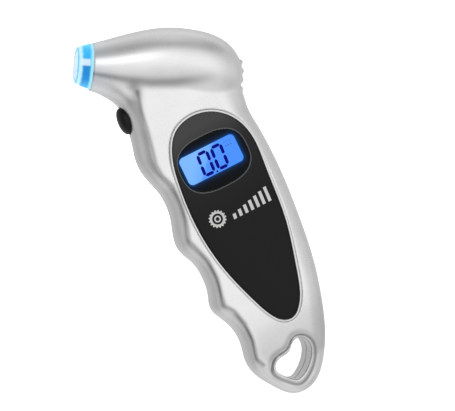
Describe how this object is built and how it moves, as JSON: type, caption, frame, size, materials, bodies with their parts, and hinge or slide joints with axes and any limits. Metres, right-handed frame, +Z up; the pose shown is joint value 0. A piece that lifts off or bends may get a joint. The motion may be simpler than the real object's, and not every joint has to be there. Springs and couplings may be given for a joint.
{
  "type": "digital tire pressure gauge",
  "caption": "Pistol-shaped digital tire pressure gauge with a clear lit nose, a tilted display in a black fascia, a rubber power button and a lanyard hole.",
  "frame": {"origin": "centre of the nozzle mouth, on the valve axis", "axes": "+X back along the head from the nozzle mouth, +Z up, the display faces -Y; the grip and the display lean 30 degrees"},
  "size_m": [0.1013, 0.028, 0.1345],
  "materials": {
    "silver_paint": "satin silver paint",
    "black_fascia": "gloss",
    "window_black": "high gloss",
    "clear_nose": "clear, lit",
    "black_rubber": "matt",
    "display_glass": "backlit",
    "white_plastic": "matt",
    "black_plastic": "matt",
    "connector_rubber": "matt",
    "board_green": "solder mask",
    "chip_black": "moulded",
    "steel": "plain",
    "brass": "machined",
    "seal_rubber": "matt",
    "hose_silicone": "translucent",
    "lamp_plastic": "clear",
    "wire_red": "insulation",
    "wire_blue": "insulation",
    "contact_nickel": "nickel plated",
    "cell_steel": "bright"
  },
  "bodies": {
    "housing": {"front_shell": "silver_paint", "rear_shell": "silver_paint", "display_panel": "black_fascia", "window_lens": "window_black", "lcd_cell": "display_glass", "lcd_frame": "black_plastic", "backlight_plate": "white_plastic", "backlight_led": "lamp_plastic", "zebra_strips": "connector_rubber", "circuit_board": "board_green", "board_screws": "steel", "microchip": "chip_black", "board_parts": "chip_black", "pressure_sensor": "steel", "nozzle_lens": "clear_nose", "valve_chuck": "white_plastic", "valve_seal": "seal_rubber", "depressor_pin": "brass", "air_tube": "hose_silicone", "tube_clamps": "steel", "nozzle_led": "lamp_plastic", "led_wires": "wire_red", "tact_switch": "black_plastic", "switch_board": "board_green", "switch_wires": "wire_blue", "battery_tray": "black_plastic", "coin_cell": "cell_steel", "button_cells": "cell_steel", "battery_contacts": "contact_nickel", "battery_wires": "wire_red", "shell_screws": "steel"},
    "power_button": {"power_button": "black_rubber"},
    "switch_plunger": {"switch_plunger": "black_plastic"},
    "battery_door": {"battery_door": "silver_paint", "door_screw": "steel"}
  },
  "joints": [
    {"name": "power_button_press", "type": "slide", "parent": "housing", "child": "power_button", "axis": [0.9063, 0, 0.4226], "range_m": [0, 0.0008], "stiffness_N_per_m": 1500},
    {"name": "switch_plunger_press", "type": "slide", "parent": "housing", "child": "switch_plunger", "axis": [0.9063, 0, 0.4226], "range_m": [0, 0.001]},
    {"name": "battery_door_off", "type": "slide", "parent": "housing", "child": "battery_door", "axis": [0, 1, 0], "range_m": [0, 0.015]}
  ],
  "couplings": [
    {"joint": "switch_plunger_press", "follows": "power_button_press", "ratio": 1}
  ]
}
